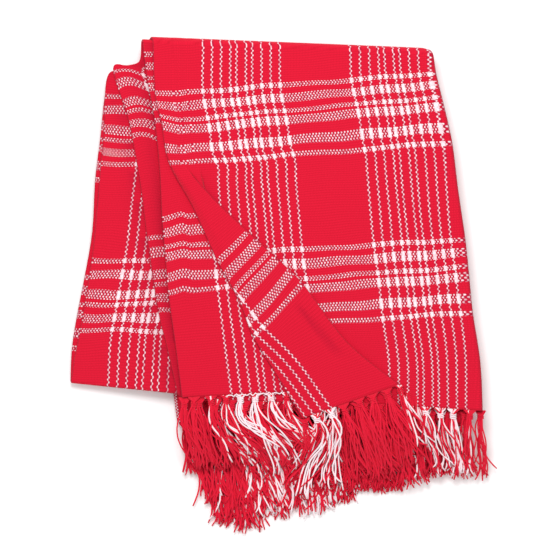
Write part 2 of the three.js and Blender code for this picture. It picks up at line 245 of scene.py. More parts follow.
# Points (x, y, rank, along, across, painted shade at a crease's outer edge) across the cloth at one station.
# The rank is a ply's level in its layer, which the second and fourth layers turn over: 0 first
# ply, 1 last ply, 2 between the under and inner folds, 3 between the inner and left folds,
# 4 front ply, and up to 6 for the flap.
# Each crease and ply also gets its number of mesh columns.
def section(row, layer, turn):
    right, hidden, ridge, left, inner, under, first, last = row
    unit = clothSizes["unit"]
    lift = tuckLift(row)

    def span(a, b):
        return math.hypot(a[0] - b[0], a[1] - b[1]) / unit

    acrossRight, acrossLeft, acrossUnder = right[3], left[3], under[3]
    acrossHidden = acrossRight - span(right, hidden)
    acrossRidge = acrossLeft + span(left, ridge)
    whole = span(right, left)
    flatShare = 1 - lift if layer == 0 else 1.0
    flatHidden = acrossRight - (acrossRight - acrossLeft) * span(right, hidden) / whole
    flatRidge = acrossLeft + (acrossRight - acrossLeft) * span(left, ridge) / whole
    acrossHidden += (flatHidden - acrossHidden) * flatShare
    acrossRidge += (flatRidge - acrossRidge) * flatShare
    backShare = turn if layer == 0 else 1.0
    frontInner = acrossUnder + span(inner, under)
    acrossInner = frontInner + (acrossLeft - span(left, inner) - frontInner) * backShare
    acrossFirst = acrossRight + span(first, right)
    acrossLast = acrossUnder - span(under, last)
    points = []

    def crease(at, side, fromRank, toRank, steps, across, curl=1.0, spread=0.0):
        passed = abs(toRank - fromRank)
        radius = passed * pitch / 2 * curl
        used = clothSizes["foldUses"] * side * passed + spread / unit
        for k in range(steps + 1):
            angle = math.pi * k / steps
            off = (k - steps / 2) / steps
            # The last value is painted shade, darkest halfway round the crease, at its outer edge.
            points.append((
                at[0] - side * radius * (1 - math.sin(angle)) - off * spread,
                at[1],
                fromRank + (toRank - fromRank) * (1 - math.cos(angle)) / 2,
                at[2],
                across - off * used,
                math.sin(angle) ** 2 * min(1.0, passed) * curl,
            ))

    def ply(a, b, rank, columns, acrossA, acrossB, ease=1):
        for k in range(1, columns):
            f = (k / columns) ** ease
            points.append((
                a[0] + (b[0] - a[0]) * f,
                a[1] + (b[1] - a[1]) * f,
                rank(f) if callable(rank) else rank,
                a[2] + (b[2] - a[2]) * f,
                acrossA + (acrossB - acrossA) * f,
                0.0,
            ))

    curl = lift ** 4
    spread = clothSizes["tuckSpread"] * (1 - lift)
    top = 4 + 2 * lift
    leftRank = 4 + clothSizes["leftLift"] * lift
    hold = clothSizes["ridgeHold"]

    def flapRank(f):
        return top - (top - leftRank) * float(smooth((f - hold) / (1 - hold)))

    inset = (right[0] - 2 * pitch, right[1], right[2])
    tuckIn = (hidden[0] - spread / 2, hidden[1], hidden[2])
    tuckOut = (ridge[0] + spread / 2, ridge[1], ridge[2])
    flapStart = (ridge[0] - spread / 2, ridge[1], ridge[2])
    points.append((first[0], first[1], 0.0, first[2], acrossFirst, 0.0))
    ply(first, inset, 0.0, 8, acrossFirst, acrossRight)
    crease(right, 1, 0, 4, 8, acrossRight)
    ply(inset, hidden, 4.0, 40, acrossRight, acrossHidden)
    crease(hidden, -1, 4, 4 + lift, 5, acrossHidden, curl, spread)
    ply(tuckIn, tuckOut, 4 + lift, 4, acrossHidden, acrossRidge)
    crease(ridge, 1, 4 + lift, top, 6, acrossRidge, curl, spread)
    ply(flapStart, left, flapRank, 18, acrossRidge, acrossLeft)
    crease(left, -1, leftRank, 3, 6, acrossLeft)
    ply(left, inner, 3.0, 20, acrossLeft, acrossInner)
    crease(inner, 1, 3, 2, 4, acrossInner)
    ply(inner, under, 2.0, 44, acrossInner, acrossUnder)
    crease(under, -1, 2, 1, 6, acrossUnder)
    ply(under, last, 1.0, 16, acrossUnder, acrossLast, 2)
    points.append((last[0], last[1], 1.0, last[2], acrossLast, 0.0))
    return points


sections = np.array([section(*station) for station in stations])
print("stations", len(stations), "columns", sections.shape[1])

# Where the weave runs unevenly. The bands step beside a soft crease down the front ply, which
# takes up some cloth, and they arch where the second layer's top ply is rounded over its crease.
weaveRun = {
    "creaseX": -103.0,
    "creaseY": 48.0,
    "creaseLean": 0.065,
    "creaseTakesUp": -2.8,
    "rampBefore": 20.0,
    "rampAfter": 2.5,
    "creaseBottom": -30.0,
    "creaseTop": 120.0,
    "creaseEnds": 25.0,
    "archHalf": 15.0,
    "archRise": 4.5,
    "archLow": 0.4,
    "archFrom": 60.0,
    "archOver": 50.0,
    "archLeast": -0.6,
    "bandWander": 1.1,
    "bandLength": 17.0,
    "stripeWander": 0.5,
    "stripeLength": 23.0,
    "lowerWander": 1.8,  # times as much in the layers under the front one
}


# Hand-woven unevenness: the yarns wander a little along their run, by two crossed waves that
# bend each other so that no repeat shows.
def wander(a, b, length, seed):
    return (np.sin(a / length + seed + 1.7 * np.sin(b / length * 0.61 + seed))
            * np.sin(b / length * 1.27 + 2.1 * seed + 1.1 * np.sin(a / length * 0.83)))


def stepAtCrease():
    x, y, rank = sections[:, :, 0], sections[:, :, 1], sections[:, :, 2]
    frontRow = np.array([layer == 0 and turn == 0 for row, layer, turn in stations])[:, None]
    onFrontPly = frontRow * (np.abs(rank - 2) < 0.1)
    off = x - (weaveRun["creaseX"] - (y - weaveRun["creaseY"]) * weaveRun["creaseLean"])
    ramp = np.where(off < 0, smooth(1 + off / weaveRun["rampBefore"]), smooth(1 - off / weaveRun["rampAfter"]))
    ends = weaveRun["creaseEnds"]
    fade = smooth((y - weaveRun["creaseBottom"]) / ends) * smooth((weaveRun["creaseTop"] - y) / ends)
    return weaveRun["creaseTakesUp"] * ramp * fade * onFrontPly


def archOverCrease(row, x, rank):
    off = (x - row[5][0]) / weaveRun["archHalf"] - 1
    grown = float(smooth((row[5][1] - weaveRun["archFrom"]) / weaveRun["archOver"]))
    high = weaveRun["archLow"] + (1 - weaveRun["archLow"]) * grown
    rise = weaveRun["archRise"] * high * np.maximum(1 - off * off, weaveRun["archLeast"])
    return rise * (np.abs(rank - 1) < 0.01)


alongCloth, acrossCloth = sections[:, :, 3].copy(), sections[:, :, 4].copy()
sections[:, :, 3] += stepAtCrease()
for j, (row, layer, turn) in enumerate(stations):
    if layer == 1:
        sections[j, :, 3] += archOverCrease(row, sections[j, :, 0], sections[j, :, 2])
layerShare = np.array([1.0 if layer == 0 else weaveRun["lowerWander"] for row, layer, turn in stations])
bandShift = wander(acrossCloth, alongCloth, weaveRun["bandLength"], 0.4)
sections[:, :, 3] += weaveRun["bandWander"] * layerShare[:, None] * bandShift
stripeShift = wander(alongCloth, acrossCloth, weaveRun["stripeLength"], 1.9)
sections[:, :, 4] += weaveRun["stripeWander"] * stripeShift
print("weave laid")


# The stack falls a little towards its sides and ends, and its left side sinks where no cloth
# lies under it.
def placeMiddle(x, y, height):
    alongLine = (y - sagTop[1]) / (sagBottom[1] - sagTop[1])
    lineX = sagTop[0] + (sagBottom[0] - sagTop[0]) * alongLine
    sag = plies * pitch * smooth((lineX - x) / clothSizes["sagReach"]) * smooth(height / pitch - (plies - 1))
    fall = (1 - clothSizes["sideFall"] * (x / clothSizes["halfWidth"]) ** 2
            - clothSizes["endFall"] * (y / clothSizes["halfLength"]) ** 2)
    return (height - sag) * fall


middle = np.zeros((len(stations), sections.shape[1], 3))
for j, (row, layer, turn) in enumerate(stations):
    x, y, rank = sections[j, :, 0], sections[j, :, 1], sections[j, :, 2]
    base = (len(layerSteps) - 1 - layer) * plies
    up = layer % 2 == 0
    levels = rank if up else plies - 1 - rank
    height = (base + levels) * pitch
    out = 0.0
    if turn > 0:
        arm = (levels + 0.5) * pitch
        out = arm * math.sin(math.pi * turn) * clothSizes["foldBulge"] * (1 if up else -1)
        height = (base - 0.5) * pitch + arm * math.cos(math.pi * turn)
    middle[j, :, 0] = x
    middle[j, :, 1] = y + out
    middle[j, :, 2] = placeMiddle(x, y + out, height)

# The fold's right end is rounded where the cloth turns over.
corner = {"x": 146.0, "overX": 20.0, "y": 234.0, "overY": 16.0, "drop": 3.0}
cornerShare = (smooth((middle[:, :, 0] - corner["x"]) / corner["overX"]) ** 2
               * smooth((middle[:, :, 1] - corner["y"]) / corner["overY"]))
middle[:, :, 1] -= corner["drop"] * cornerShare

# Soft troughs and ridges, placed on the plies that show. Columns: X and Y of each end,
# half width and height in millimetres. Every ply of the stack under them follows.
softCreases = [
    (-156, 228, -134, 158, 6, 1.1),
    (-107, 110, -99, -14, 5, 1.3),
    (17, -25, 63, -77, 4.5, -1.3),
    (24, -20, 72, -74, 6, 0.9),
    (20, 225, 95, 60, 26, 0.7),
    (60, 120, 150, -60, 30, -0.6),
    (-20, 90, 40, -10, 22, 0.6),
    (120, 200, 175, 40, 18, -0.5),
    (-190, 60, -150, -70, 14, 0.6),
    (-180, 130, -160, 0, 10, -0.5),
]
softSizes = {
    "fade": 0.25,  # share of a crease's length over which it fades out at each end
    "wave": 0.25,
    "fromHeight": 14.0,  # creases fade in over the upper plies
    "overHeight": 10.0,
}


# Share of the way from a to b, and distance to the right of that line.
def besideLine(x, y, ax, ay, bx, by):
    length = math.hypot(bx - ax, by - ay)
    dx, dy = (bx - ax) / length, (by - ay) / length
    share = ((x - ax) * dx + (y - ay) * dy) / length
    return share, (x - ax) * dy - (y - ay) * dx


def creaseField(x, y):
    total = np.zeros_like(x)
    fade = softSizes["fade"]
    for ax, ay, bx, by, width, height in softCreases:
        share, off = besideLine(x, y, ax, ay, bx, by)
        ends = smooth(share / fade + 0.5) * smooth((1 - share) / fade + 0.5)
        total += height * np.exp(-(off / width) ** 2) * ends
    # Broad, shallow waves of cloth that was folded by hand
    waves = np.sin(x / 19.0 + 1.3 * np.sin(y / 31.0)) * np.sin(y / 27.0 + 0.8 * np.sin(x / 23.0))
    return total + softSizes["wave"] * waves


# Painted shade: cloth that lies close under an edge gets less light, so its colour is darkened.
# Each ply is darkened by its distance from the edge that covers it, and the flap along its roll.
edgeShade = {
    "reach": 7.0,
    "depth": 0.5,
    "frontReach": 9.0,
    "frontDepth": 0.6,
    "rollLine": (14, -20, 66, -82),
    "rollHalf": 3.2,
    "rollFade": 0.2,
    "rollDepth": 0.4,
    "most": 0.7,
}
frontEdge = np.array([row[5][:2] for row, layer, turn in stations if layer == 0 and turn == 0])


def nearEdge(distance, reach, depth):
    return np.where(distance > 0, depth * np.exp(-np.maximum(distance, 0) / reach), 0.0)


def frontShade(row, x, y, rank):
    underFlap = (np.abs(rank - 2) < 0.1) | (np.abs(rank - 3) < 0.01)
    shadeStrength = nearEdge(row[3][0] - x, edgeShade["reach"], edgeShade["depth"]) * underFlap
    besideFlap = (np.abs(rank - 4) < 0.01) * tuckLift(row)
    shadeStrength += nearEdge(x - row[2][0], edgeShade["reach"], edgeShade["depth"]) * besideFlap
    share, off = besideLine(x, y, *edgeShade["rollLine"])
    ends = smooth(share / edgeShade["rollFade"]) * smooth((1 - share) / edgeShade["rollFade"])
    roll = np.exp(-(off / edgeShade["rollHalf"]) ** 2) * ends
    return shadeStrength + edgeShade["rollDepth"] * roll * (rank > 4.1)


def secondShade(row, x, y, rank):
    shadeStrength = nearEdge(row[5][0] - x, edgeShade["reach"], edgeShade["depth"]) * (rank > 2.5)
    coveredX = np.interp(y, frontEdge[:, 1], frontEdge[:, 0])
    return shadeStrength + nearEdge(coveredX - x, edgeShade["frontReach"], edgeShade["frontDepth"])


# Painted shade under edges is kept where it is darker than the painted shade at a crease's outer edge.
for j, (row, layer, turn) in enumerate(stations):
    shadeOf = secondShade if layer == 1 else frontShade if layer == 0 and turn == 0 else None
    if shadeOf:
        x, y, rank, paintedShade = (sections[j, :, k] for k in (0, 1, 2, 5))
        sections[j, :, 5] = np.maximum(paintedShade, np.minimum(shadeOf(row, x, y, rank), edgeShade["most"]))

softShare = smooth((middle[:, :, 2] - softSizes["fromHeight"]) / softSizes["overHeight"])
middle[:, :, 2] += creaseField(middle[:, :, 0], middle[:, :, 1]) * softShare
print("cloth laid")


def unitRows(values):
    length = np.linalg.norm(values, axis=-1, keepdims=True)
    return values / np.maximum(length, 1e-9)


def surfaceNormals(grid):
    across = np.zeros_like(grid)
    stepAcross = unitRows(grid[:, 1:] - grid[:, :-1])
    across[:, :-1] += stepAcross
    across[:, 1:] += stepAcross
    along = np.zeros_like(grid)
    stepAlong = unitRows(grid[1:] - grid[:-1])
    along[:-1] += stepAlong
    along[1:] += stepAlong
    return unitRows(np.cross(across, along))


shift = np.array([-clothSizes["centreX"], -clothSizes["centreY"], clothSizes["thickness"] / 2])


def addMesh(name, verts, faces, values=None):
    mesh = bpy.data.meshes.new(name)
    mesh.from_pydata([tuple(v) for v in verts], [], faces)
    mesh.update()
    piece = bpy.data.objects.new(name, mesh)
    bpy.context.scene.collection.objects.link(piece)
    for attribute, numbers in (values or {}).items():
        layer = mesh.attributes.new(attribute, "FLOAT_VECTOR", "POINT")
        layer.data.foreach_set("vector", np.asarray(numbers, dtype=np.float32).ravel())
    for polygon in mesh.polygons:
        polygon.use_smooth = True
    return piece


# The cloth's two faces stand half a thickness off its middle and are closed along the edges.
def buildCloth():
    normals = surfaceNormals(middle)
    half = clothSizes["thickness"] / 2
    rows, columns = middle.shape[:2]
    count = rows * columns
    upper = (middle + normals * half + shift) / 1000
    lower = (middle - normals * half + shift) / 1000
    verts = np.concatenate([upper.reshape(-1, 3), lower.reshape(-1, 3)])
    verts[:, 2] = np.maximum(verts[:, 2], 0.0)
    faces = []
    for j in range(rows - 1):
        for i in range(columns - 1):
            a = j * columns + i
            faces.append((a, a + 1, a + columns + 1, a + columns))
            faces.append((count + a, count + a + columns, count + a + columns + 1, count + a + 1))
        for i, flip in ((0, False), (columns - 1, True)):
            a = j * columns + i
            face = (a, a + columns, count + a + columns, count + a)
            faces.append(face[::-1] if flip else face)
    for i in range(columns - 1):
        b = (rows - 1) * columns + i
        faces.append((i, count + i, count + i + 1, i + 1))
        faces.append((b, b + 1, count + b + 1, count + b))
    flat = sections[:, :, [4, 3, 5]].reshape(-1, 3)  # across, along, painted shade
    return addMesh("throw_cloth_woven", verts, faces, {"cloth": np.concatenate([flat, flat])})


# Yarn pattern. Distances are in the same units as the tables above.
pattern = {
    "warpPitch": 1.576,
    "pickPitch": 2.3,
    "warpRepeat": 151.3,
    "bandRepeat": 165.5,
    "bandStart": 98.5,
    "firstBand": 50.0,  # no band before this far from the front hem
    "stripeHalf": 1.6,
    "thinHalf": 2.4,
    "thickHalf": 4.7,
    "bow": 0.3,
    "roundness": 3.2,
    "dip": 1.8,
    "yarnsBefore": 2000.0,  # added to the yarns' numbers so that none is below nought
    "repeatsBefore": 40.5,
}
stripeAt = [0.0, 9.45, 18.9, 28.4, 34.7, 44.1, 50.4, 59.9, 69.3, 78.8]
bandAt = [(0.0, "thin"), (14.0, "thick"), (34.5, "thick"), (45.0, "thin"), (59.5, "thick"), (73.0, "thin")]
yarnColours = {
    "red": (0.69, 0.008, 0.034, 1),
    # darker red: painted shade at a red yarn's sides, and random patches and fuzz
    "redDark": (0.44, 0.004, 0.018, 1),
    "redYarn": (0.80, 0.012, 0.042, 1),
    # painted shade under edges and at creases' outer edges darkens towards this colour
    "paintedShade": (0.26, 0.003, 0.022, 1),
    "maroon": (0.32, 0.004, 0.030, 1),
    # between white floats: partly the red yarn that shows there, partly painted shade
    "gap": (0.46, 0.05, 0.10, 1),
    "white": (0.95, 0.78, 0.82, 1),
    "whiteDark": (0.90, 0.70, 0.74, 1),
}
yarnFinish = {
    "clothRoughness": 0.92,
    "fringeRoughness": 0.9,
    "fringeFuzz": 700.0,
    "fringeShade": 1.5,
    "sheen": 0.08,
    "specular": 0.1,
    "bump": 0.5,
    "bumpDistance": 0.0004,
}
# How painted shade falls off a yarn's crown, how much single floats differ, and how strong the painted edge
# shade is.
weaveShade = {
    "fuzzScale": 900.0,
    "slubScale": 260.0,
    "patchScale": 14.0,
    "redCrown": 0.75,
    "redFuzz": 0.35,
    "maroonLeast": 0.25,
    "maroonRange": 0.5,
    "whiteFrom": 0.36,
    "whiteGain": 1.9,
    "slubGain": 2.0,
    "slubLoss": 0.05,
    "floatLeast": 0.53,
    "floatRange": 0.75,
    "crossLeast": 0.75,
    "crossRange": 0.3,
    "patches": 0.10,
    # how strongly the painted shade darkens the colour
    "shadeStrength": 0.75,
    "fuzzBump": 0.5,
}


# A node's output that takes part in sums.
class Socket:
    def __init__(self, tree, socket):
        self.tree = tree
        self.socket = socket

    def math(self, operation, *others):
        made = self.tree.nodes.new("ShaderNodeMath")
        made.operation = operation
        for slot, value in enumerate((self, *others)):
            if isinstance(value, Socket):
                self.tree.links.new(value.socket, made.inputs[slot])
            else:
                made.inputs[slot].default_value = value
        return Socket(self.tree, made.outputs[0])

    def __add__(self, other):
        return self.math("ADD", other)

    __radd__ = __add__

    def __sub__(self, other):
        return self.math("SUBTRACT", other)

    def __rsub__(self, other):
        return self.math("MULTIPLY", -1.0).math("ADD", other)

    def __mul__(self, other):
        return self.math("MULTIPLY", other)

    __rmul__ = __mul__

    def __truediv__(self, other):
        return self.math("DIVIDE", other)

    def __lt__(self, other):
        return self.math("LESS_THAN", other)

    def __gt__(self, other):
        return self.math("GREATER_THAN", other)


# A material and its nodes.
class Sheet:
    def __init__(self, name):
        self.material = bpy.data.materials.new(name)
        self.material.use_nodes = True
        self.tree = self.material.node_tree
        self.shader = self.tree.nodes["Principled BSDF"]

    # Inputs go by name, or by number as i0, i1 and so on.
    def node(self, kind, settings=None, output=0, **inputs):
        made = self.tree.nodes.new(kind)
        for key, value in (settings or {}).items():
            setattr(made, key, value)
        for key, value in inputs.items():
            slot = made.inputs[int(key[1:]) if key[1:].isdigit() else key]
            if isinstance(value, Socket):
                self.tree.links.new(value.socket, slot)
            else:
                slot.default_value = value
        return Socket(self.tree, made.outputs[output])

    def parts(self, attribute):
        vector = self.node("ShaderNodeAttribute", {"attribute_name": attribute}, 1)
        split = self.node("ShaderNodeSeparateXYZ", Vector=vector)
        return [Socket(self.tree, output) for output in split.socket.node.outputs]

    def mix(self, factor, a, b):
        settings = {"data_type": "RGBA", "blend_type": "MIX"}
        return self.node("ShaderNodeMix", settings, 2, i0=factor, i6=a, i7=b)

    def feed(self, name, value):
        self.tree.links.new(value.socket, self.shader.inputs[name])

    def finish(self, colour, roughness, height):
        self.feed("Base Color", colour)
        self.shader.inputs["Roughness"].default_value = roughness
        self.shader.inputs["Sheen Weight"].default_value = yarnFinish["sheen"]
        self.shader.inputs["Specular IOR Level"].default_value = yarnFinish["specular"]
        bump = self.node("ShaderNodeBump", Strength=yarnFinish["bump"],
                         Distance=yarnFinish["bumpDistance"], Height=height)
        self.feed("Normal", bump)
        return self.material


# 1 where a value is within half of a place, each time the pattern repeats.
def insideAny(value, places, repeat):
    total = None
    for at, half in places:
        moved = value + (repeat * pattern["repeatsBefore"] - at)
        inside = (moved.math("MODULO", repeat) - repeat / 2).math("ABSOLUTE") < half
        total = inside if total is None else total + inside
    return total


# A yarn's number, and the distance from its middle as a share of its pitch.
def yarnNumber(value, yarnPitch):
    counted = value / yarnPitch + pattern["yarnsBefore"]
    return counted.math("FLOOR"), (counted.math("FRACT") - 0.5).math("ABSOLUTE")


def wovenMaterial():
    sheet = Sheet("cotton_weave")
    across, along, shadeStrength = sheet.parts("cloth")
    look = weaveShade
    fuzz = sheet.node("ShaderNodeTexNoise", Scale=look["fuzzScale"], Detail=3.0)
    slubs = sheet.node("ShaderNodeTexNoise", Scale=look["slubScale"], Detail=2.0)
    patches = sheet.node("ShaderNodeTexNoise", Scale=look["patchScale"], Detail=3.0)

    # Each float bows towards its neighbour, so a pair of white warps reads as a zigzag.
    pickNumber, pickPlace = yarnNumber(along, pattern["pickPitch"])
    side = pickNumber.math("MODULO", 2.0) * 2.0 - 1.0
    across = across - side * pickPlace * (2.0 * pattern["bow"] * pattern["warpPitch"])
    warpNumber, warpPlace = yarnNumber(across, pattern["warpPitch"])

    stripes = [(at, pattern["stripeHalf"]) for at in stripeAt]
    bands = [(at + pattern["bandStart"], pattern[kind + "Half"]) for at, kind in bandAt]
    whiteWarp = insideAny(across, stripes, pattern["warpRepeat"])
    whitePick = insideAny(along, bands, pattern["bandRepeat"]) * (along > pattern["firstBand"])
    warpTop = (warpNumber + pickNumber).math("MODULO", 2.0) < 0.5
    white = warpTop * whiteWarp + (1.0 - warpTop) * whitePick
    nearWhite = whitePick.math("MAXIMUM", whiteWarp)

    # A yarn is round across itself and dips where it goes under its neighbour.
    def crownOf(acrossYarn, alongYarn):
        rounded = 1.0 - acrossYarn * acrossYarn * pattern["roundness"]
        return rounded * (1.0 - alongYarn * alongYarn * pattern["dip"])

    height = warpTop * crownOf(warpPlace, pickPlace) + (1.0 - warpTop) * crownOf(pickPlace, warpPlace)
    floatAt = sheet.node("ShaderNodeCombineXYZ", i0=warpNumber, i1=pickNumber)
    chance = sheet.node("ShaderNodeTexWhiteNoise", {"noise_dimensions": "2D"}, Vector=floatAt)

    # Painted shade: a red yarn is lighter on its crown and darker at its sides, as light falls on a round
    # yarn; the fuzz adds random variation.
    shade = (height * look["redCrown"] + fuzz * look["redFuzz"]).math("MINIMUM", 1.0)
    red = sheet.mix(shade, yarnColours["redDark"], yarnColours["red"])
    maroonShare = nearWhite * (chance * look["maroonRange"] + look["maroonLeast"])
    red = sheet.mix(maroonShare, red, yarnColours["maroon"])

    # A white float is white on its crown and fades to the gap colour at its sides: partly the red yarn between
    # floats, partly painted shade.
    crown = ((height - look["whiteFrom"]) * look["whiteGain"]).math("MINIMUM", 1.0).math("MAXIMUM", 0.0)
    crown = crown * (slubs * look["slubGain"] - look["slubLoss"]).math("MINIMUM", 1.0)
    crown = crown * (chance * look["floatRange"] + look["floatLeast"]).math("MINIMUM", 1.0)
    crossing = whiteWarp * whitePick * (chance * look["crossRange"] + look["crossLeast"])
    pale = sheet.mix(crown.math("MAXIMUM", crossing), yarnColours["gap"], yarnColours["white"])

    colour = sheet.mix(white, red, pale)
    colour = sheet.mix(patches * look["patches"], colour, yarnColours["redDark"])
    # Painted shade under covering edges, along the flap's roll and at creases' outer edges.
    colour = sheet.mix(shadeStrength * look["shadeStrength"], colour, yarnColours["paintedShade"])
    return sheet.finish(colour, yarnFinish["clothRoughness"], height + fuzz * look["fuzzBump"])


cloth = buildCloth()
cloth.data.materials.append(wovenMaterial())
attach(cloth, "root")
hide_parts("throw_cloth")
print("cloth made", 2 * len(cloth.data.polygons), "triangles")

# Fringes of knotted tassels. Lengths are in millimetres, turns in radians, and a pair is the
# range that a random factor or size comes from.
fringeSizes = {
    "spacing": 16.5,
    "spacingRange": (0.85, 1.15),
    "rootWidth": 0.8,  # share of the spacing
    "followHem": 0.35,
    "hang": 0.65,
    "lean": 0.06,
    "yarns": 12,
    "yarnRadius": 1.15,
    "radiusRange": (0.85, 1.1),
    "tipShare": 0.8,
    "sides": 4,
    "steps": 14,
    "strandPitch": 1.35,
    "lengthRange": (0.92, 1.06),
    "reachRange": (0.9, 1.04),
    "loopRange": (0.7, 1.2),
    "yarnTurn": 0.32,
    "tipTurn": 0.9,
    "waveRange": (0.12, 0.38),
    "beatRange": (5.0, 11.0),
    "fan": 0.22,
    "gather": 0.3,
    "counterTurn": 0.4,
    "bendEarly": 1.3,
    "bendLate": 0.8,
    "pull": 0.55,  # share of the way from the hem to the knot where a yarn is drawn in
    "pile": 3.2,
    "pileSteps": 3.0,
    "pileSettles": 0.35,
    "hiddenWhite": 0.3,  # share of the white yarns that plies out of sight keep
    "frontLevel": 5.5,
    "lowest": 0.2,
}
knotSizes = {
    "at": 6.5,
    "spread": 1.2,
    "neck": 3.4,
    "turns": 3,
    "turnPitch": 1.8,
    "points": 8,
    "halfWidth": 3.0,
    "halfDepth": 0.9,
    "rise": 2.1,
    "yarnRadius": 0.95,
    "whiteFrom": 0.45,  # a tassel with more white yarns than this has a white knot
}
# A white yarn that runs over and under along the front ply's hem.
overcastYarn = {"from": -62.0, "to": 8.0, "radius": 0.8, "sway": 1.5, "below": 0.5, "above": 1.5, "rise": 0.5}
dice = random.Random(11)

# Where white yarns are tied in, and how the tassels lie there. Columns: from X and to X in
# millimetres, share of white yarns, length, swing to the right in radians, its random part, and
# how far the tassel loops over to the right on its way, in radians.
frontTassels = [
    (-240, -96, 0.02, 78, 0.20, 0.06, 0.30),
    (-96, -66, 0.06, 80, 0.20, 0.08, 0.28),
    (-66, -12, 0.42, 86, 0.60, 0.45, 0.85),
    (-12, 28, 0.42, 92, 0.50, 0.90, 0.95),
    (28, 40, 0.42, 88, -0.20, 0.90, 0.50),
    (40, 66, 0.50, 92, -0.60, 0.25, -0.60),
    (66, 128, 0.0, 86, 0.05, 0.30, 0.05),
    (128, 144, 0.30, 79, 0.15, 0.30, 0.20),
    (144, 200, 0.60, 72, 0.12, 0.25, 0.28),
    (200, 240, 0.08, 73, 0.12, 0.06, 0.05),
]
backTassels = [
    (-240, -84, 0.03, 56, 0.12, 0.08, 0.25),
    (-84, -66, 0.03, 88, 0.06, 0.08, 0.14),
    (-66, -32, 0.03, 96, 0.04, 0.14, 0.10),
    (-32, 40, 0.38, 86, 0.02, 0.30, 0.20),
    (40, 70, 0.30, 77, 0.02, 0.30, 0.15),
    (70, 130, 0.14, 67, 0.12, 0.25, 0.10),
    (130, 240, 0.14, 56, 0.16, 0.25, 0.10),
]


def tube(mesh, path, radius, value):
    verts, faces, values = mesh
    start = len(verts)
    sides = fringeSizes["sides"]
    path = np.array(path, dtype=float)
    for k, p in enumerate(path):
        direction = path[min(len(path) - 1, k + 1)] - path[max(0, k - 1)]
        direction = direction / max(1e-9, np.linalg.norm(direction))
        side = np.cross(direction, (0.0, 0.0, 1.0))
        size = np.linalg.norm(side)
        side = side / size if size > 1e-3 else np.array((1.0, 0.0, 0.0))
        over = np.cross(side, direction)
        r = radius * (fringeSizes["tipShare"] if k == len(path) - 1 else 1.0)
        for s in range(sides):
            angle = 2 * math.pi * (s + 0.5) / sides
            verts.append(p + side * (r * math.cos(angle)) + over * (r * math.sin(angle)))
            values.append((value, 0.0, 0.0))
    for k in range(len(path) - 1):
        for s in range(sides):
            t = (s + 1) % sides
            a = start + k * sides
            faces.append((a + s, a + t, a + sides + t, a + sides + s))
    faces.append(tuple(start + s for s in reversed(range(sides))))
    faces.append(tuple(start + (len(path) - 1) * sides + s for s in range(sides)))


# A few turns of yarn round the tassel's neck.
def tieKnot(mesh, knot, away, sideways, heightAt, white):
    for turn in range(knotSizes["turns"]):
        centre = knot + away * (turn - 1) * knotSizes["turnPitch"]
        z = heightAt(centre)[0] + knotSizes["halfDepth"]
        ring = []
        for n in range(knotSizes["points"] + 1):
            angle = 2 * math.pi * n / knotSizes["points"]
            q = (centre + sideways * (knotSizes["halfWidth"] * math.cos(angle))
                 + away * (knotSizes["halfDepth"] * math.sin(angle)))
            ring.append((q[0], q[1], z + knotSizes["rise"] * math.sin(angle)))
        tube(mesh, ring, knotSizes["yarnRadius"], white)


def makeTassel(mesh, root, hemWay, away, manner, whiteShare, endZ, drop):
    sizes = fringeSizes
    fullLength, swing, swingSpread, loopTurn = manner
    count, steps = sizes["yarns"], sizes["steps"]
    knotAt = knotSizes["at"] + dice.uniform(-knotSizes["spread"], knotSizes["spread"])
    length = fullLength * dice.uniform(*sizes["lengthRange"])
    knot = root + away * knotAt
    heading = math.atan2(away[1], away[0])
    sideways = np.array((-away[1], away[0], 0.0))
    tasselTurn = swing + dice.uniform(-1, 1) * swingSpread
    loop = loopTurn * dice.uniform(*sizes["loopRange"])
    whites = 0

    # The tassel goes down from the hem to the height where it rests.
    def heightAt(q):
        down = float(smooth((q[1] - drop[0]) / (drop[1] - drop[0])))
        return root[2] + (endZ - root[2]) * down, down

    for k in range(count):
        share = (k + 0.5) / count - 0.5
        white = dice.random() < whiteShare
        whites += white
        start = root + hemWay * (share * sizes["spacing"] * sizes["rootWidth"])
        yarnTurn = tasselTurn + dice.uniform(-1, 1) * sizes["yarnTurn"] - share * sizes["gather"]
        tipTurn = dice.uniform(-1, 1) * sizes["tipTurn"]
        wave = dice.uniform(*sizes["waveRange"])
        phase = dice.uniform(0, 6.28)
        beat = dice.uniform(*sizes["beatRange"])
        stack = dice.uniform(0.0, 1.0) * sizes["pile"]
        step = (length * dice.uniform(*sizes["reachRange"]) - knotAt) / steps
        angle = heading + share * sizes["fan"] - tasselTurn * sizes["counterTurn"]
        q = knot + sideways * (share * knotSizes["neck"])
        path = [start, start + (q - start) * sizes["pull"]]
        for n in range(steps + 1):
            g = n / steps
            path.append(q)
            bend = yarnTurn * g * (sizes["bendEarly"] - sizes["bendLate"] * g)
            turned = angle + bend + loop * math.sin(math.pi * g)
            turned += wave * math.sin(phase + beat * g) + tipTurn * g ** 5
            q = q + np.array((math.cos(turned), math.sin(turned), 0.0)) * step
        lifted = []
        for n, p in enumerate(path):
            z, down = heightAt(p)
            rise = stack * min(1.0, n / sizes["pileSteps"]) * (1.0 - sizes["pileSettles"] * down)
            lifted.append((p[0], p[1], z + rise))
        tube(mesh, lifted, sizes["yarnRadius"] * dice.uniform(*sizes["radiusRange"]), float(white))
    tieKnot(mesh, knot, away, sideways, heightAt, 1.0 if whites > count * knotSizes["whiteFrom"] else 0.0)


def layOvercast(mesh, hem, ranks):
    yarn = overcastYarn
    hits = [p for p, rank in zip(hem, ranks) if abs(rank - 2) < 0.1 and yarn["from"] < p[0] < yarn["to"]]
    hits.sort(key=lambda p: p[0])
    path = []
    for a, b in zip(hits, hits[1:]):
        for f in (0.0, 0.5):
            p = a + (b - a) * f
            path.append(p + (0.0, yarn["sway"] * math.sin(p[0] * 0.9) - yarn["below"],
                             yarn["above"] + yarn["rise"] * math.sin(p[0] * 1.7)))
    tube(mesh, path, yarn["radius"], 1.0)


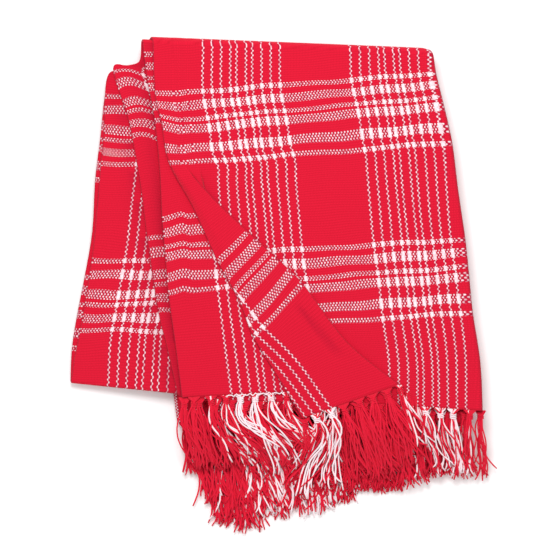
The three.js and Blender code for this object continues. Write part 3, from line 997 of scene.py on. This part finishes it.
# Tassels hang along the hem at nearly even steps. The drop is the Y where they begin to go down
# and the Y where they rest.
def buildFringe(name, hemRow, innerRow, drop, tassels, levelOf, shows, overcast=False):
    sizes = fringeSizes
    mesh = ([], [], [])
    hem, inner = middle[hemRow], middle[innerRow]
    ranks = sections[hemRow, :, 2]
    out = unitRows((hem - inner) * (1, 1, 0))
    walked = -sizes["spacing"] / 2
    for i in range(len(hem) - 1):
        length = float(np.linalg.norm(hem[i + 1] - hem[i]))
        walked += length
        while walked > 0:
            f = 1 - walked / length
            walked -= sizes["spacing"] * dice.uniform(*sizes["spacingRange"])
            root = hem[i] + (hem[i + 1] - hem[i]) * f
            hemWay = unitRows(hem[i + 1] - hem[i]) * (1, 1, 0)
            hang = np.array((dice.uniform(-sizes["lean"], sizes["lean"]), -sizes["hang"], 0.0))
            away = unitRows(out[i] * sizes["followHem"] + hang)
            rank = ranks[i] + (ranks[i + 1] - ranks[i]) * f
            place = root[0] - clothSizes["centreX"]
            row = next((r for r in tassels if r[0] <= place < r[1]), tassels[-1])
            white = row[2] * (1.0 if shows(rank) else sizes["hiddenWhite"])
            makeTassel(mesh, root, hemWay, away, row[3:], white, levelOf(rank) * sizes["strandPitch"], drop)
    if overcast:
        layOvercast(mesh, hem, ranks)
    verts, faces, values = mesh
    verts = (np.array(verts) + shift) / 1000
    verts[:, 2] = np.maximum(verts[:, 2], sizes["lowest"] / 1000)
    return addMesh(name, verts, faces, {"yarn": values})


def frontLevel(rank):
    return fringeSizes["frontLevel"] + rank


# The front ply and the ply that shows beside its tuck
def frontShows(rank):
    return rank > 3.5 or 1.5 < rank < 2.5


def backLevel(rank):
    return plies - 1 - rank


def backShows(rank):
    return True


def yarnMaterial():
    sheet = Sheet("cotton_yarn")
    white = sheet.parts("yarn")[0]
    fuzz = sheet.node("ShaderNodeTexNoise", Scale=yarnFinish["fringeFuzz"], Detail=3.0)
    shade = (fuzz * yarnFinish["fringeShade"]).math("MINIMUM", 1.0)
    red = sheet.mix(shade, yarnColours["redDark"], yarnColours["redYarn"])
    pale = sheet.mix(shade, yarnColours["whiteDark"], yarnColours["white"])
    return sheet.finish(sheet.mix(white, red, pale), yarnFinish["fringeRoughness"], fuzz)


frontDrop, backDrop = (-150, -212), (-174, -215)
frontFringe = buildFringe("front_fringe_yarns", 0, 1, frontDrop, frontTassels, frontLevel, frontShows, True)
backFringe = buildFringe("back_fringe_yarns", -1, -2, backDrop, backTassels, backLevel, backShows)
yarn = yarnMaterial()
for fringe, node in ((frontFringe, "front_fringe"), (backFringe, "back_fringe")):
    fringe.data.materials.append(yarn)
    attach(fringe, "root")
    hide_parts(node)
print("fringes made", len(frontFringe.data.polygons), len(backFringe.data.polygons))

# Floor, light and camera
studio = {
    "floor": 2.6,
    "floorColour": (0.98, 0.98, 0.98, 1),
    "floorRoughness": 0.95,
    "world": 0.86,
    "keyPower": 21.0,
    "keyAt": (-0.12, 0.85, 1.7),
    "keySize": 0.8,
    "cameraHeight": 6.0,
    "clothTop": 0.034,  # the height at which the picture has its width
    "pictureWidth": 0.5762,
    "pictureX": -11.2,  # millimetres, where the photograph's middle lies
    "pictureY": 13.3,
}


def layFloor():
    size = studio["floor"]
    corners = [(-size, -size, 0), (size, -size, 0), (size, size, 0), (-size, size, 0)]
    floor = addMesh("studio_floor", corners, [(0, 1, 2, 3)])
    plain = Sheet("studio_floor_plain")
    plain.shader.inputs["Base Color"].default_value = studio["floorColour"]
    plain.shader.inputs["Roughness"].default_value = studio["floorRoughness"]
    floor.data.materials.append(plain.material)


def setLight():
    world = bpy.data.worlds.new("studio_world")
    world.use_nodes = True
    world.node_tree.nodes["Background"].inputs[0].default_value = (1, 1, 1, 1)
    world.node_tree.nodes["Background"].inputs[1].default_value = studio["world"]
    bpy.context.scene.world = world
    lamp = bpy.data.lights.new("studio_key", "AREA")
    lamp.energy = studio["keyPower"]
    lamp.size = studio["keySize"]
    key = bpy.data.objects.new("studio_key", lamp)
    key.location = studio["keyAt"]
    key.rotation_euler = (-key.location).normalized().to_track_quat("-Z", "Y").to_euler()
    bpy.context.scene.collection.objects.link(key)
    bpy.context.scene.view_settings.view_transform = "Standard"


# The camera looks straight down from high up, as the photograph was taken.
def setCamera():
    lens = bpy.data.cameras.new("photo_camera")
    lens.sensor_fit = "HORIZONTAL"
    lens.sensor_width = 36
    height = studio["cameraHeight"]
    lens.angle = 2 * math.atan(studio["pictureWidth"] / 2 / (height - studio["clothTop"]))
    lens.clip_end = 50
    camera = bpy.data.objects.new("photo_camera", lens)
    camera.location = ((studio["pictureX"] - clothSizes["centreX"]) / 1000,
                       (studio["pictureY"] - clothSizes["centreY"]) / 1000, height)
    bpy.context.scene.collection.objects.link(camera)
    bpy.context.scene.camera = camera


layFloor()
setLight()
setCamera()
print("studio made")
